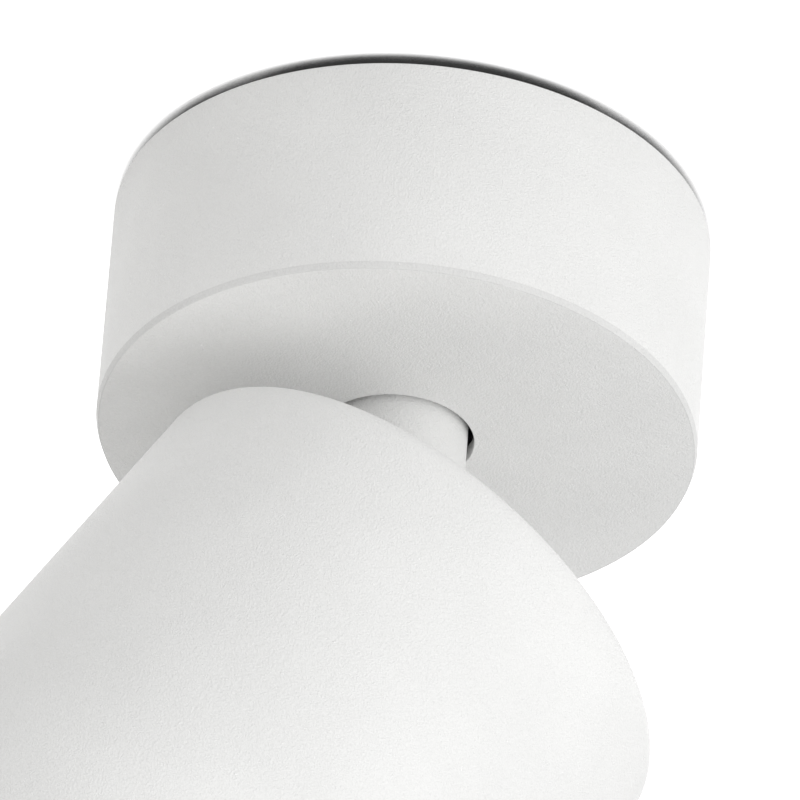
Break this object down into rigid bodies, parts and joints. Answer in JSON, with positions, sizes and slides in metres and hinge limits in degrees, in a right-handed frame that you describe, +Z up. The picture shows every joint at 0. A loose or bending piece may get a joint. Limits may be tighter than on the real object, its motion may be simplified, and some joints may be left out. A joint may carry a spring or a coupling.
{
  "type": "ceiling spotlight",
  "caption": "Surface mounted ceiling spotlight: deep round base, short turning stem and a cylindrical head that tilts to aim the beam.",
  "frame": {"origin": "centre of the mounting bracket's ceiling face", "axes": "+Z up into the ceiling, along the pan axis; the tilt axis runs along Y; at rest the head is tilted towards -X"},
  "size_m": [0.1448, 0.1, 0.1948],
  "materials": {
    "white_powder_coat": "matt fine-texture powder coat",
    "zinc_sheet": "galvanised",
    "spring_steel": "satin",
    "zinc_screw": "bright zinc",
    "black_rubber": "matt",
    "clear_silicone": "matt",
    "acetal": "matt",
    "driver_case": "fine texture",
    "terminal_plastic": "matt",
    "tinned_brass": "satin",
    "brown_insulation": "satin",
    "blue_insulation": "satin",
    "green_yellow_insulation": "satin",
    "white_sheath": "satin",
    "bare_aluminium": "as cast",
    "thermal_silicone": "matt",
    "led_ceramic": "matt",
    "led_phosphor": "satin",
    "holder_plastic": "matt",
    "reflector_metal": "bright anodised",
    "clear_glass": "clear"
  },
  "bodies": {
    "base": {"mounting_bracket": "zinc_sheet", "cable_grommet": "black_rubber", "base_cover": "white_powder_coat", "lock_screw": "zinc_screw", "swivel_plate": "zinc_sheet", "swivel_plate_screws": "zinc_screw", "swivel_bush": "acetal", "stop_pin": "zinc_screw", "led_driver": "driver_case", "driver_screws": "zinc_screw", "terminal_block": "terminal_plastic", "terminal_screw": "zinc_screw", "earth_tag": "tinned_brass", "earth_screw": "zinc_screw", "live_wire": "brown_insulation", "neutral_wire": "blue_insulation", "earth_wire": "green_yellow_insulation", "led_lead": "white_sheath"},
    "stem": {"swivel_stem": "white_powder_coat", "stop_washer": "spring_steel", "disc_spring": "spring_steel", "swivel_nut": "zinc_screw", "friction_washers": "acetal", "pivot_springs": "spring_steel", "pivot_screws": "zinc_screw"},
    "head": {"tilt_yoke": "zinc_sheet", "yoke_screws": "zinc_screw", "head_shell": "white_powder_coat", "heat_sink": "bare_aluminium", "sink_screws": "zinc_screw", "thermal_pad": "thermal_silicone", "led_module": "led_ceramic", "led_emitter": "led_phosphor", "led_holder": "holder_plastic", "holder_screws": "zinc_screw", "head_lead": "white_sheath", "reflector": "reflector_metal", "front_glass": "clear_glass", "glass_gasket": "clear_silicone", "front_bezel": "white_powder_coat"}
  },
  "joints": [
    {"name": "stem_pan", "type": "hinge", "parent": "base", "child": "stem", "pos_m": [0, 0, -0.038], "axis": [0, 0, 1], "range_deg": [-170, 170]},
    {"name": "head_tilt", "type": "hinge", "parent": "stem", "child": "head", "pos_m": [0, 0, -0.0835], "axis": [0, 1, 0], "range_deg": [-31.8, 8.2]}
  ]
}
